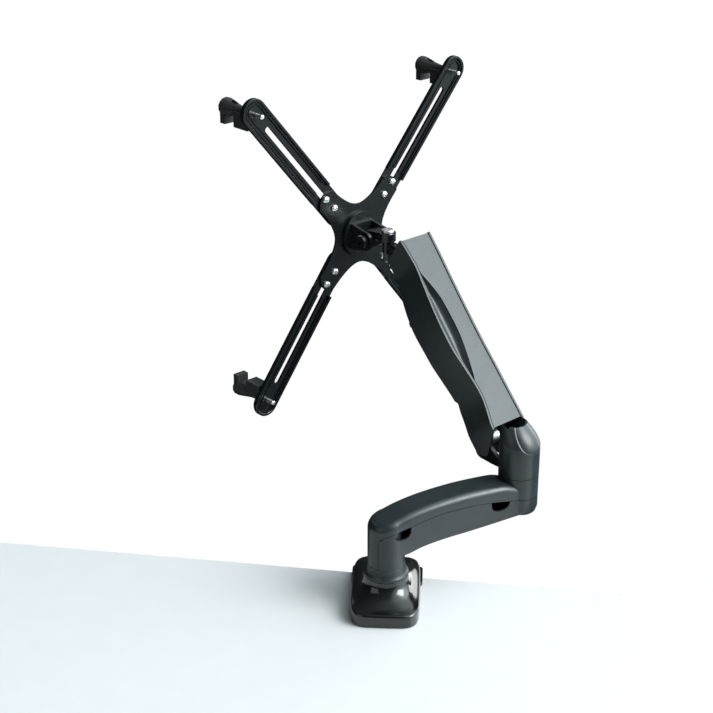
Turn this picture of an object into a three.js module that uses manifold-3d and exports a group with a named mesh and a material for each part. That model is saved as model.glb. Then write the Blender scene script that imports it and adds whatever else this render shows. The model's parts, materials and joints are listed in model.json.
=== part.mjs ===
// A clamp-on monitor arm: a desk clamp and base, a lower arm that swivels on the base post, an
// elbow, a gas-spring upper arm with a levelling parallelogram, a swivel and tilt head, and a
// cross plate with four adapter arms that grip the edges of a monitor.
// Millimetres, +Z up. The origin is on the desk top, on the axis of the base post; -Y is the front
// of the base, and the desk edge is behind it, on the +Y side.
import * as THREE from "three";
import { mergeVertices } from "three/addons/utils/BufferGeometryUtils.js";
import Module from "manifold-3d";

const wasm = await Module();
wasm.setup();

const GAP = 0.3; // air between pieces that touch
const WALL = 2.4; // cast and moulded shells
const DEG = Math.PI / 180;

// ---- base and clamp ----
const BASE = { halfWidth: 36.5, front: -51.5, back: 60, floor: 0.8, rise: 6 };
const COLLAR = { low: 36.5, high: 49, lowRadius: 23.8, highRadius: 19.9 };
const PAD_THICKNESS = 4;
const BASE_PLATE = { thickness: 4, inset: 4 };
const POST = { radius: 13, top: 98 };
const CLAMP = { halfWidth: 38.5, sheet: 4, strapFrom: 31, legFrom: 61, jaw: -96 };
const SCREW = { y: 34, radius: 4, foot: -142 };
const DESK_THICKNESS = 25; // the desk that the clamp is closed on

// ---- lower arm: x runs along the arm from the base post ----
const LOWER = { length: 161.8, azimuth: 30.6, postRadius: 19.7, halfWidth: 19, columnRadius: 21.9 };
const ELBOW_SEAM = 116;
const BODY_SEAM_X = -15.7; // upright seam between the body and the cable cover
const BASE_TUBE = { bore: 15, radius: 16.8 };
const COLUMN_TUBE = { bore: 12.5, radius: 15.5 };

// ---- elbow: x runs towards the upper arm ----
const HOUSING = { radius: 22, top: 171.5, wall: 1.8 };
const SHAFT = { radius: 10.5, foot: 76 };
const CHEEK = { inner: 9.5, outer: 14 }; // the two cheeks of the elbow bracket

// ---- upper arm: x runs along the arm from the lift pins, z stands up from it ----
const UPPER = { azimuth: 135, pitch: 50, span: 204 };
const LIFT = { x: 44.8, z: 157.5, radius: 4 };
const DECK = { low: 16.9, high: 25, groove: 1.4, elbowEnd: -8, headEnd: 217 };
const WEB = { low: 14.4, high: 16.6 };
const BLIND = 1.2; // the skin that closes the pin holes in the side panels
const LINK = { dx: 4, dz: -10.4, inner: -17.4, outer: -14.6, halfHeight: 3.2, pinRadius: 2.4 };
const SPRING_PIN = { x: 165, z: 5, radius: 3 };
const SPRING_ANCHOR = { dx: -3, dz: -14, radius: 2.5 }; // from the lift pins
const CYLINDER = { radius: 8, length: 100 };
const ROD = { radius: 3, eyeBore: 5.6, eyeRadius: 8.4 };

// ---- head: x runs from the swivel axis to the monitor ----
const HEAD = { x: 209.2, z: 320.6 };
const TILT_X = 22;
const PLATE = { x: 48.1, thickness: 2.4, armFrom: 35, lobeRadius: 15, reach: 77 };
const DISC = { radius: 26, thickness: 4 };
const HOLE_PITCH = [75, 100]; // the two standard square hole patterns

// ---- adapter arms: x runs outwards along each arm from the middle of its two screws ----
const ADAPTERS = [
  { tag: "upper_left", side: [-1, 1], angle: 130.2 },
  { tag: "upper_right", side: [1, 1], angle: 49.4 },
  { tag: "lower_left", side: [-1, -1], angle: -127.5 },
  { tag: "lower_right", side: [1, -1], angle: -51 },
];
const ADAPTER = {
  inner: -33, stud: 155, tip: 174, halfWidth: 15.5, rimFrom: 18, beadFrom: 24, rim: 3.6, sheet: 1.6,
};
const SLOT = { halfWidth: 3.3, from: -26, to: 134 };
const STUD = { radius: 2.5, back: -13, front: 40 };
const HOOK = { halfWidth: 7.5, from: 4, screenBack: 27, screenFront: 42.3, to: 50, reach: 17 };

// ================= helpers =================

const finishes = {
  satin: { color: 0x1d1f22, roughness: 0.45, metalness: 0.1 },
  gloss: { color: 0x0b0c0e, roughness: 0.12, metalness: 0.0 },
  coated: { color: 0x17181a, roughness: 0.55, metalness: 0.3 },
  steel: { color: 0xb9bcc0, roughness: 0.28, metalness: 1.0 },
  rubber: { color: 0x101011, roughness: 0.85, metalness: 0.0 },
  nylon: { color: 0xd8d4c8, roughness: 0.5, metalness: 0.0 },
};

// A closed geometry as a solid that can be joined and cut.
function solid(geometry) {
  const bare = geometry.clone();
  bare.deleteAttribute("normal");
  bare.deleteAttribute("uv");
  const merged = mergeVertices(bare, 1e-4);
  return new wasm.Manifold(new wasm.Mesh({
    numProp: 3,
    vertProperties: new Float32Array(merged.attributes.position.array),
    triVerts: new Uint32Array(merged.index.array),
  }));
}

function geometryOf(body) {
  const { vertProperties, triVerts } = body.getMesh();
  const geometry = new THREE.BufferGeometry();
  geometry.setAttribute("position", new THREE.BufferAttribute(vertProperties, 3));
  geometry.setIndex(new THREE.BufferAttribute(triVerts, 1));
  return geometry;
}

const join = (first, ...others) => others.reduce((sum, other) => sum.add(other), first);
const cut = (first, ...others) => others.reduce((rest, other) => rest.subtract(other), first);

// An upright cylinder between two heights, optionally tapered.
function post(radius, low, high, segments = 36, topRadius = radius) {
  const geometry = new THREE.CylinderGeometry(topRadius, radius, high - low, segments);
  geometry.rotateX(90 * DEG);
  geometry.translate(0, 0, (low + high) / 2);
  return solid(geometry);
}

const sleeve = (inner, outer, low, high, segments = 36) =>
  post(outer, low, high, segments).subtract(post(inner, low - 1, high + 1, segments));

// A cylinder across the arm, along Y, with its axis at x, z.
const crosswise = (radius, from, to, x = 0, z = 0, segments = 28) =>
  post(radius, from, to, segments).rotate([-90, 0, 0]).translate([x, 0, z]);

// A cylinder along X, with its axis at y, z.
const lengthwise = (radius, from, to, y = 0, z = 0, segments = 28) =>
  post(radius, from, to, segments).rotate([0, 90, 0]).translate([0, y, z]);

function block(low, high) {
  const size = high.map((value, axis) => value - low[axis]);
  const geometry = new THREE.BoxGeometry(...size);
  geometry.translate(...low.map((value, axis) => value + size[axis] / 2));
  return solid(geometry);
}

// A flat outline, given by its corners as [x, y, corner radius].
function outline(corners) {
  const path = new THREE.Shape();
  corners.forEach(([x, y, radius = 0], index) => {
    const corner = new THREE.Vector2(x, y);
    const [before, after] = [-1, 1].map((step) => {
      const [nx, ny] = corners[(index + step + corners.length) % corners.length];
      return new THREE.Vector2(nx, ny).sub(corner).setLength(radius).add(corner);
    });
    if (index === 0) path.moveTo(before.x, before.y);
    else path.lineTo(before.x, before.y);
    if (radius > 0) path.quadraticCurveTo(x, y, after.x, after.y);
  });
  path.closePath();
  return path;
}

const roundedBox = (x0, y0, x1, y1, radius) =>
  outline([[x0, y0, radius], [x1, y0, radius], [x1, y1, radius], [x0, y1, radius]]);

function extruded(shape, depth, curveSegments) {
  return new THREE.ExtrudeGeometry(shape, { depth, bevelEnabled: false, curveSegments });
}

// An outline in X and Y, raised between two heights.
function raised(shape, low, high, curveSegments = 6) {
  const geometry = extruded(shape, high - low, curveSegments);
  geometry.translate(0, 0, low);
  return solid(geometry);
}

// A side view in X and Z, drawn out along Y.
function drawnAcross(shape, from, to, curveSegments = 6) {
  const geometry = extruded(shape, to - from, curveSegments);
  geometry.rotateX(90 * DEG);
  geometry.translate(0, to, 0);
  return solid(geometry);
}

// A closed solid of revolution about Z; the profile is [radius, height] pairs.
function turned(profile, segments = 36) {
  const points = [...profile, profile[0]].map(([r, z]) => new THREE.Vector2(r, z));
  const geometry = new THREE.LatheGeometry(points, segments);
  geometry.rotateX(90 * DEG);
  return solid(geometry);
}

// Rings of points, lowest first, closed by a flat cap at each end.
function loft(rings) {
  const sides = rings[0].length;
  const index = [];
  for (let ring = 0; ring < rings.length - 1; ring += 1) {
    for (let side = 0; side < sides; side += 1) {
      const [a, b] = [ring * sides + side, ring * sides + ((side + 1) % sides)];
      index.push(a, b, b + sides, a, b + sides, a + sides);
    }
  }
  const top = (rings.length - 1) * sides;
  for (let side = 1; side < sides - 1; side += 1) {
    index.push(0, side + 1, side, top, top + side, top + side + 1);
  }
  const geometry = new THREE.BufferGeometry();
  geometry.setAttribute("position", new THREE.Float32BufferAttribute(rings.flat(2), 3));
  geometry.setIndex(index);
  return solid(geometry);
}

function circleRing(radius, centreX, z, sides = 40) {
  return Array.from({ length: sides }, (unused, side) => {
    const angle = (side / sides) * 360 * DEG;
    return [centreX + radius * Math.cos(angle), radius * Math.sin(angle), z];
  });
}

// A pill-shaped outline along X.
function pill(from, to, halfWidth) {
  const shape = new THREE.Shape();
  shape.absarc(to - halfWidth, 0, halfWidth, -90 * DEG, 90 * DEG);
  shape.absarc(from + halfWidth, 0, halfWidth, 90 * DEG, 270 * DEG);
  shape.closePath();
  return shape;
}

function piece(name, finish, body) {
  const mesh = new THREE.Mesh(geometryOf(body), new THREE.MeshStandardMaterial(finishes[finish]));
  mesh.name = name;
  return mesh;
}

function placed(position, children, turnZ = 0, turnY = 0, turnX = 0) {
  const group = new THREE.Group();
  group.rotation.set(turnX * DEG, turnY * DEG, turnZ * DEG, "ZYX");
  group.position.set(...position);
  group.add(...children);
  return group;
}

// ================= base and clamp =================

// The cover, from its foot to the collar: how far out it stands, its height at the front, and how
// much of the rise towards the back it takes.
const COVER = [[1, BASE.floor, 0], [1, 12.6, 1], [0.975, 13.8, 1], [0.93, 14.5, 1], [0.55, 17.6, 0.8],
  [0.3, 21, 0.55], [0.12, 26, 0.25], [0.03, 31, 0.08], [0, COLLAR.low - GAP, 0]];

// One level of the cover: a rounded square at its foot that is round at the collar.
function coverRing([spread, height, share], depth, sides = 48) {
  const centreY = (BASE.front + BASE.back) / 2;
  const halfDepth = (BASE.back - BASE.front) / 2;
  const power = 2 / (2 + 3.2 * spread);
  const reachX = COLLAR.lowRadius + (BASE.halfWidth - COLLAR.lowRadius) * spread - depth;
  const reachY = COLLAR.lowRadius + (halfDepth - COLLAR.lowRadius) * spread - depth;
  return Array.from({ length: sides }, (unused, side) => {
    const angle = (side / sides) * 360 * DEG;
    const squared = (value) => Math.sign(value) * Math.abs(value) ** power;
    const y = centreY * spread + reachY * squared(Math.sin(angle));
    const rise = (BASE.rise * share * (y - BASE.front)) / (BASE.back - BASE.front);
    return [reachX * squared(Math.cos(angle)), y, height + rise];
  });
}

function baseCover() {
  const outer = loft(COVER.map((level) => coverRing(level, 0)));
  const inner = loft(COVER.map(([spread, height, share], index) =>
    coverRing([spread, index === 0 ? height - 1 : height - WALL, share], WALL)));
  const strapSlot = block([-60, CLAMP.strapFrom - 1, -1],
    [60, CLAMP.legFrom + 1, CLAMP.sheet + 2 * GAP]);
  return cut(outer, inner, post(POST.radius + 5, -1, 80), strapSlot);
}

// A flat piece inside the foot of the cover.
const footPlate = (inset, low, high) =>
  loft([low, high].map((height) => coverRing([1, height, 0], inset)));

function deskPad() {
  const behind = block([-60, CLAMP.strapFrom - GAP, -1], [60, 80, PAD_THICKNESS + 1]);
  return cut(footPlate(WALL + 1, 0, PAD_THICKNESS), behind);
}

function basePlate() {
  const low = PAD_THICKNESS + GAP;
  return footPlate(BASE_PLATE.inset, low, low + BASE_PLATE.thickness);
}

const PLATE_TOP = PAD_THICKNESS + GAP + BASE_PLATE.thickness;

function clampBracket() {
  const { halfWidth, sheet, strapFrom, legFrom, jaw } = CLAMP;
  const strap = raised(roundedBox(-halfWidth, strapFrom, halfWidth, legFrom + sheet, 5), 0, sheet);
  const leg = block([-30, legFrom, jaw], [30, legFrom + sheet, sheet]);
  const lower = raised(roundedBox(-30, 12, 30, legFrom + sheet, 6), jaw - sheet, jaw + 0.01);
  const boss = post(9, jaw - 12, jaw, 24).translate([0, SCREW.y, 0]);
  const bore = post(SCREW.radius + GAP, jaw - 20, jaw + 5, 24).translate([0, SCREW.y, 0]);
  return cut(join(strap, leg, lower, boss), bore);
}

const basePost = () => turned([[0, PLATE_TOP + GAP], [21, PLATE_TOP + GAP], [21, PLATE_TOP + 6],
  [POST.radius, PLATE_TOP + 9], [POST.radius, POST.top - 1.5], [POST.radius - 1.5, POST.top],
  [0, POST.top]]);

const collar = () => turned([[POST.radius + GAP, COLLAR.low], [COLLAR.lowRadius, COLLAR.low],
  [COLLAR.lowRadius, COLLAR.low + 2.5], [COLLAR.lowRadius - 2, COLLAR.low + 6],
  [COLLAR.highRadius, COLLAR.high - 2], [COLLAR.highRadius, COLLAR.high],
  [POST.radius + GAP, COLLAR.high]]);

const PAD_TOP = -DESK_THICKNESS - GAP;

function clampDisc() {
  const bore = SCREW.radius + 1.5;
  return turned([[0, PAD_TOP - 3], [bore, PAD_TOP - 3], [bore, PAD_TOP - 9], [10, PAD_TOP - 9],
    [13, PAD_TOP - 4], [19, PAD_TOP - 3.4], [19, PAD_TOP], [0, PAD_TOP]]);
}

function clampScrew() {
  const top = PAD_TOP - 3 - GAP;
  const { radius, foot } = SCREW;
  const rod = turned([[0, foot], [7, foot], [7, foot + 14], [radius, foot + 15], [radius, top - 1],
    [radius - 1, top], [0, top]], 24);
  return rod.subtract(crosswise(3 + GAP, -10, 10, 0, foot + 7, 16));
}

const clampBar = () => turned([[0, -24], [3.6, -24], [3, -20], [3, 20], [3.6, 24], [0, 24]], 20)
  .rotate([-90, 0, 0]).translate([0, 0, SCREW.foot + 7]);

// ================= lower arm =================

const ARM_TOP = [[-30, 97], [-20, 99.5], [-2, 103.8], [17, 109], [39, 112.5, 4], [61, 114.3], [89, 115],
  [117, 114], [136, 112.4], [150, 108]];
const SEAM = [[141, 94], [113, 98.6], [89, 100.7], [61, 101.2], [39, 98.8], [19, 95], [-4, 91],
  [-12, 87.5]];
const ARM_BOTTOM = [[19, 64.6], [36, 68.4], [62, 70.5], [90, 71.2], [119, 72.4], [150, 74]];
const COLUMN_SEAM = 91;

const shifted = (points, by) => points.map(([x, z, radius = 0]) => [x, z + by, radius]);

// Everything of the lower arm that is outside its seams, before it is hollowed.
function armBlank(inset, low) {
  const { length, postRadius, halfWidth } = LOWER;
  return join(post(postRadius - inset, low, 130),
    block([0, inset - halfWidth, low], [length, halfWidth - inset, 130]));
}

// The side view of the body, above the seam and under the crown of the arm.
function upperSide(inset, shift) {
  const { length } = LOWER;
  const end = BODY_SEAM_X - GAP;
  return outline([[-30, COLLAR.high + GAP], [end, COLLAR.high + GAP], [end, 84, 2],
    ...shifted([...SEAM].reverse(), GAP + shift), [length, COLUMN_SEAM + GAP + shift],
    [length, 104 - inset], ...shifted([...ARM_TOP].reverse(), -inset)]);
}

function lowerArmBody() {
  const { length, columnRadius, postRadius } = LOWER;
  const blank = armBlank(0, COLLAR.high + GAP).intersect(drawnAcross(upperSide(0, 0), -30, 30));
  const hollow = armBlank(WALL, 40).intersect(drawnAcross(upperSide(WALL, -20), -30, 30));
  const keepEnd = block([BODY_SEAM_X - 10, -30, 40], [BODY_SEAM_X - GAP, 30, 92]);
  const underSeam = drawnAcross(outline([[100, 60], [length, 60], [length, COLUMN_SEAM + GAP],
    [SEAM[0][0], SEAM[0][1] + GAP], [100, 101]]), -30, 30);
  const column = post(columnRadius, COLUMN_SEAM + GAP, ELBOW_SEAM - GAP)
    .translate([length, 0, 0]).subtract(underSeam);
  const columnHollow = post(columnRadius - WALL, COLUMN_SEAM - 5, ELBOW_SEAM - GAP - WALL)
    .translate([length, 0, 0]);
  const endWall = armBlank(0, COLLAR.high + GAP).intersect(keepEnd);
  const skin = join(cut(join(blank, column), hollow, columnHollow), endWall);
  const baseTube = sleeve(BASE_TUBE.bore, BASE_TUBE.radius, COLLAR.high + GAP, 101);
  const columnTube = sleeve(COLUMN_TUBE.bore, COLUMN_TUBE.radius, SHAFT.foot, ELBOW_SEAM - GAP - 1)
    .translate([length, 0, 0]);
  const rib = block([postRadius - 4, -1.2, 92], [length - 14, 1.2, 110])
    .intersect(drawnAcross(upperSide(0.5, 4), -30, 30));
  return cut(join(skin, baseTube, columnTube, rib),
    post(BASE_TUBE.bore, 40, 99.5), post(COLUMN_TUBE.bore, 60, 130).translate([length, 0, 0]));
}

// The side view of the cable cover, below the seam.
function lowerSide() {
  const { length, columnRadius } = LOWER;
  const foot = COLLAR.high + GAP;
  const end = length + columnRadius + 5;
  return outline([[BODY_SEAM_X, foot], [30, foot], ...ARM_BOTTOM, [end, 70], [end, COLUMN_SEAM],
    [length, COLUMN_SEAM], ...SEAM, [BODY_SEAM_X, 83, 2]]);
}

function lowerArmCover() {
  const { length, postRadius, columnRadius, halfWidth } = LOWER;
  const strip = (inset, low) => {
    const belly = outline([[0, 62 + inset], ...shifted(ARM_BOTTOM, inset), [170, 74 + inset],
      [170, 120], [0, 120]]);
    const beam = block([0, inset - halfWidth, low], [length, halfWidth - inset, 120]);
    const rim = columnRadius - inset;
    const cup = turned([[0, 70 + inset], [columnRadius - 8, 70 + inset], [rim - 2.4, 72.4 + inset],
      [rim, 78], [rim, 120], [0, 120]]).translate([length, 0, 0]);
    return join(post(postRadius - inset, low, 120), beam.intersect(drawnAcross(belly, -30, 30)), cup);
  };
  const outer = strip(0, COLLAR.high + GAP).intersect(drawnAcross(lowerSide(), -30, 30));
  const inner = strip(WALL, 40).intersect(block([BODY_SEAM_X - 10, -30, 40], [length + 40, 30, 120]));
  const notches = [[9, 9, 82.5], [128.5, 10.5, 86]].map(([x, half, low]) =>
    drawnAcross(outline([[x - half, low, 0.95 * half], [x + half, low, 0.95 * half],
      [x + half, 104], [x - half, 104]]), -30, -postRadius + WALL + 2));
  return cut(outer, inner, ...notches);
}

const baseBushing = () =>
  sleeve(POST.radius + GAP, BASE_TUBE.bore - GAP, COLLAR.high + GAP, POST.top - 1);

const elbowBushing = () =>
  sleeve(SHAFT.radius + GAP, COLUMN_TUBE.bore - GAP, SHAFT.foot, ELBOW_SEAM - 2);

// ================= elbow =================

// The housing leans in as a rounded shoulder on the side away from the upper arm.
const SHOULDER_FOOT = 143;
const LAP = 1.2; // how far the upright wall stands out from the shoulder
const SHOULDER = [[21.9, 0, 138], [21.9, 0, 146], [21.3, 0.6, 151], [19.6, 2.6, 158],
  [17.2, 6, 165], [14, 10, HOUSING.top]];

function shoulder(inset, top) {
  return loft(SHOULDER.map(([radius, centre, z], index) =>
    circleRing(radius - inset, centre, index === SHOULDER.length - 1 ? top : z)));
}

// Everything of the housing that is towards the arm from the sloping shoulder.
function towardsArm() {
  return drawnAcross(outline([[-22.4, 100], [60, 100], [60, 200], [9, 182], [-2, 170], [-22.4, 144]]),
    -40, 40);
}

function elbowHousing() {
  const { radius, top, wall } = HOUSING;
  const low = ELBOW_SEAM + GAP;
  const collarTop = post(radius, low, top).intersect(towardsArm()).intersect(shoulder(-LAP, top));
  const skin = join(post(radius, low, SHOULDER_FOOT), collarTop, shoulder(0, top));
  const hollow = join(post(radius - wall, low + 3, 148), shoulder(wall + 0.3, top + 1));
  const mouth = crosswise(29.5, -18, 18, LIFT.x, LIFT.z, 48);
  const endSweep = crosswise(28, -40, 40, LIFT.x, LIFT.z, 48);
  const bracketSlot = block([4, -CHEEK.outer - 1, low + 3], [40, CHEEK.outer + 1, 175]);
  return cut(skin, hollow, mouth, endSweep, bracketSlot, post(SHAFT.radius + GAP, 100, 130));
}

function elbowBracket() {
  const low = ELBOW_SEAM + GAP + 3 + GAP;
  const side = outline([[-12, low], [26, low, 4], [50, 121, 8], [56, 150, 8], [52, 167, 7],
    [37, 167, 7], [33, 140, 8], [12, 126], [-12, 126]]);
  const cheeks = [[-CHEEK.outer, -CHEEK.inner], [CHEEK.inner, CHEEK.outer]].map(([from, to]) =>
    drawnAcross(side, from, to));
  const floor = block([-12, -CHEEK.outer, low], [30, CHEEK.outer, low + 4]);
  const { radius, foot } = SHAFT;
  const shaft = turned([[0, foot], [radius - 1, foot], [radius, foot + 1], [radius, low + 2],
    [0, low + 2]]);
  const inside = post(HOUSING.radius - HOUSING.wall - GAP, low, 180);
  const beyond = block([11, -20, 100], [80, 20, 190]);
  const body = join(join(...cheeks, floor).intersect(join(inside, beyond)), shaft);
  const bores = [
    crosswise(LIFT.radius + GAP, -30, 30, LIFT.x, LIFT.z, 24),
    crosswise(LINK.pinRadius + GAP, -30, 0, LIFT.x + LINK.dx, LIFT.z + LINK.dz, 16),
    crosswise(SPRING_ANCHOR.radius + GAP, -30, 30, LIFT.x + SPRING_ANCHOR.dx,
      LIFT.z + SPRING_ANCHOR.dz, 16),
  ];
  return cut(body, ...bores);
}

// ================= upper arm =================

const PANEL_SIDE = [[-11, 26, 3], [218.6, 26, 3], [206.9, -9, 3], [149, -18, 6], [125, -19.4],
  [98, -17], [37.7, -16.5], [34, -13.5], [24, -16.2], [-25, -14, 6], [-32.5, -3, 5]];

// The outer faces of the two side panels, as [along, out from the middle] pairs.
const NEAR_SIDE = [[-33, 22.5], [-5, 22.5], [10, 19.4], [25, 17], [40, 17.4], [60, 20.4], [85, 24.4],
  [112, 25.2], [140, 24], [165, 21.6], [185, 19.8], [203, 21.2], [219, 23.2]];
const FAR_SIDE = [[-33, 25.5], [-5, 25.3], [20, 24.4], [45, 23.6], [68, 22.6], [90, 21.8], [126, 21.4],
  [165, 21.6], [187, 22], [203, 22], [219, 21.9]];
// The upper edge of the crescent scoop in the near side of the deck.
const DECK_EDGE = [[-8, 20], [25, 13.8], [42, 14.6], [56, 11.2], [74, 7.4], [99, 4], [124, 4],
  [146, 5.8], [164, 11], [178, 16], [186, 17.2], [217, 19.8]];

// The smooth curve through the points, read at x.
function curveAt(points, x) {
  const last = points.length - 2;
  const found = points.findIndex(([px]) => px > x) - 1;
  const span = found < 0 ? (x > points[0][0] ? last : 0) : found;
  const [[, a], [x0, b], [x1, c], [, d]] = [points[Math.max(span - 1, 0)], points[span],
    points[span + 1], points[Math.min(span + 2, last + 1)]];
  const t = (x - x0) / (x1 - x0);
  return 0.5 * (2 * b + (c - a) * t + (2 * a - 5 * b + 4 * c - d) * t ** 2
    + (3 * b - a - 3 * c + d) * t ** 3);
}

// The arm's plan between its two side panels, drawn in by an inset.
function plan(inset) {
  const steps = Array.from({ length: 37 }, (unused, step) => -33 + 7 * step);
  const near = steps.map((x) => [x, curveAt(NEAR_SIDE, x) - inset]);
  const far = steps.map((x) => [x, inset - curveAt(FAR_SIDE, x)]);
  return raised(outline([...far, ...near.reverse()]), -30, 30);
}

function upperArmShell() {
  const sides = cut(drawnAcross(outline(PANEL_SIDE), -40, 40).intersect(plan(0)), plan(WALL));
  const web = block([-4, -40, WEB.low], [208, 40, WEB.high]).intersect(plan(1));
  const springPosts = [[11, 40], [-40, -17.8]].map(([from, to]) =>
    crosswise(6, from, to, SPRING_PIN.x, SPRING_PIN.z).intersect(plan(1)));
  const bores = [[0, LIFT.radius, 0], [UPPER.span, LIFT.radius, 0],
    [SPRING_PIN.x, SPRING_PIN.radius, SPRING_PIN.z]].map(([x, radius, z]) =>
    crosswise(radius + GAP, -40, 40, x, z, 24).intersect(plan(BLIND)));
  return cut(join(sides, web, ...springPosts), ...bores);
}

// How far out a pin reaches into the blind hole of a side panel.
const pinReach = (side, x) => curveAt(side, x) - BLIND - 3 * GAP;

const liftPin = (side) => (side > 0
  ? crosswise(LIFT.radius, CHEEK.inner - 1.5, pinReach(NEAR_SIDE, 0))
  : crosswise(LIFT.radius, -pinReach(FAR_SIDE, 0), 1.5 - CHEEK.inner));

const headAxle = () =>
  crosswise(LIFT.radius, -pinReach(FAR_SIDE, UPPER.span), pinReach(NEAR_SIDE, UPPER.span));

// The deck across the arm at x, with the scoop between its edge and the near panel.
function deckSection(x) {
  const { low, high, groove } = DECK;
  const near = curveAt(NEAR_SIDE, x) - WALL - groove;
  const far = WALL + groove - curveAt(FAR_SIDE, x);
  const edge = Math.min(curveAt(DECK_EDGE, x), near - 0.3);
  const depth = Math.min(5.6, (near - edge) * 0.5);
  const scoop = [0, 0.2, 0.4, 0.6, 0.8, 1].map((t) =>
    [x, near + (edge - near) * t, high - 0.8 - depth * Math.sin(Math.PI * t)]);
  return [[x, far, low], [x, near, low], ...scoop, [x, edge, high], [x, far, high]];
}

function topCover() {
  const { elbowEnd, headEnd } = DECK;
  const steps = 25;
  return loft(Array.from({ length: steps + 1 }, (unused, step) =>
    deckSection(elbowEnd + ((headEnd - elbowEnd) * step) / steps)));
}

function underCover() {
  return drawnAcross(outline([[112, -17.6], [149, -17.2], [184, -11.8], [184, -9.8], [149, -15.2],
    [112, -15.6]]), -14.2, 16.9);
}

// The gas cylinder lies along X from its pin, its rod end towards -X.
function gasCylinder() {
  const barrel = lengthwise(CYLINDER.radius, -CYLINDER.length, -9);
  const eye = crosswise(7, -5, 5);
  const tongue = block([-12, -5, -5], [0, 5, 5]);
  return cut(join(barrel, eye, tongue), crosswise(SPRING_PIN.radius + GAP, -9, 9, 0, 0, 20),
    lengthwise(ROD.radius + GAP, -CYLINDER.length - 1, -14, 0, 0, 20));
}

// The gas spring's length from pin to pin, and its slope in the arm.
const SPRING = (() => {
  const turn = -UPPER.pitch * DEG;
  const { dx, dz } = SPRING_ANCHOR;
  const x = dx * Math.cos(turn) - dz * Math.sin(turn);
  const z = dx * Math.sin(turn) + dz * Math.cos(turn);
  const [runX, runZ] = [SPRING_PIN.x - x, SPRING_PIN.z - z];
  return { length: Math.hypot(runX, runZ), slope: Math.atan2(runZ, runX) / DEG };
})();

function gasRod() {
  const { length } = SPRING;
  const rod = lengthwise(ROD.radius, -length + ROD.eyeRadius - 1, -60, 0, 0, 20);
  const eye = crosswise(ROD.eyeRadius, -5, 5, -length);
  return cut(join(rod, eye), crosswise(ROD.eyeBore, -9, 9, -length));
}

function parallelLink() {
  const { inner, outer, halfHeight, pinRadius } = LINK;
  const ends = [0, UPPER.span];
  const bar = drawnAcross(pill(-halfHeight - 2, UPPER.span + halfHeight + 2, halfHeight), inner, outer);
  const eyes = ends.map((x) => crosswise(halfHeight + 1.6, inner, outer, x, 0));
  const bores = ends.map((x) => crosswise(pinRadius + GAP, -30, 0, x, 0, 16));
  return cut(join(bar, ...eyes), ...bores);
}

const linkPin = () => turned([[0, 9.4], [LINK.pinRadius, 9.4], [LINK.pinRadius, 17.7],
  [3.6, 17.7], [3.6, 19], [0, 19]], 20).rotate([90, 0, 0]);

// ================= head =================

const NECK = { low: -11.1, high: 3.1, radius: 5.5, bore: 3.5 };
const KNUCKLE_X = HEAD.x - LIFT.x - UPPER.span * Math.cos(UPPER.pitch * DEG);
const KNUCKLE_Z = HEAD.z - LIFT.z - UPPER.span * Math.sin(UPPER.pitch * DEG);

// Hinged on the arm's head axle, which is at its own origin.
function headKnuckle() {
  const barrel = crosswise(8, -14, 14);
  const arm = block([2, -4.5, -4], [KNUCKLE_X - 2, 4.5, 8.5]);
  const neck = post(NECK.radius, NECK.low, NECK.high, 28).translate([KNUCKLE_X, 0, KNUCKLE_Z]);
  const lug = drawnAcross(outline([[-6, 0], [8, 0], [8, -16, 4], [-4, -16, 4]]), -14, -9.5);
  return cut(join(barrel, arm, neck, lug),
    post(NECK.bore, -40, 40, 24).translate([KNUCKLE_X, 0, 0]),
    crosswise(LIFT.radius + GAP, -30, 30, 0, 0, 24),
    crosswise(LINK.pinRadius + GAP, -30, 0, LINK.dx, LINK.dz, 16));
}

const swivelPin = () => turned([[0, -22], [3.2, -22], [3.2, 13.2], [6.8, 13.2], [6.8, 15.6],
  [5.6, 16.6], [0, 16.6]], 28);

const swivelNut = () => post(5.2, -20.4, NECK.low - GAP, 6)
  .subtract(post(NECK.bore, -30, 0, 24));

function swivelYoke() {
  const eye = post(9.5, 3.4, 12.9, 32);
  const plate = drawnAcross(outline([[0, 4], [TILT_X, 4], [TILT_X + 6, 10, 2], [0, 12.9]]), -8, 8);
  const barrel = crosswise(9, -11.6, 11.6, TILT_X);
  return cut(join(eye, plate, barrel), post(NECK.bore, -40, 40, 24),
    crosswise(4 + GAP, -30, 30, TILT_X, 0, 24));
}

function tiltBracket() {
  const discFrom = PLATE.x - PLATE.thickness / 2 - GAP - DISC.thickness;
  const side = outline([[TILT_X - 11, -9, 8], [discFrom + 1, -15], [discFrom + 1, 15],
    [TILT_X - 11, 9, 8]]);
  const cheeks = [[-15.6, -12], [12, 15.6]].map(([from, to]) => drawnAcross(side, from, to));
  const back = block([discFrom - 4, -15.6, -15], [discFrom + 0.5, 15.6, 15]);
  const disc = lengthwise(DISC.radius, discFrom, discFrom + DISC.thickness, 0, 0, 40);
  return cut(join(...cheeks, back, disc), crosswise(4 + GAP, -30, 30, TILT_X, 0, 24),
    lengthwise(4 + GAP, 20, 60, 0, 0, 24));
}

const tiltBolt = () => join(crosswise(4, -20, 17, TILT_X, 0, 24),
  crosswise(7.6, 15.9, 21.6, TILT_X, 0, 12));

const tiltNut = () => crosswise(6.5, -19.4, -15.9, TILT_X, 0, 6)
  .subtract(crosswise(4 + GAP, -30, 0, TILT_X, 0, 24));

// ================= cross plate and adapter arms =================

// A flat outline in the plate's plane, X to the right and Y up as seen from the arm's side.
function facing(shape, from, to, curveSegments = 6) {
  const geometry = extruded(shape, to - from, curveSegments);
  const toPlate = new THREE.Matrix4().makeBasis(new THREE.Vector3(0, -1, 0),
    new THREE.Vector3(0, 0, 1), new THREE.Vector3(-1, 0, 0));
  geometry.applyMatrix4(toPlate);
  geometry.translate(to, 0, 0);
  return solid(geometry);
}

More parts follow.
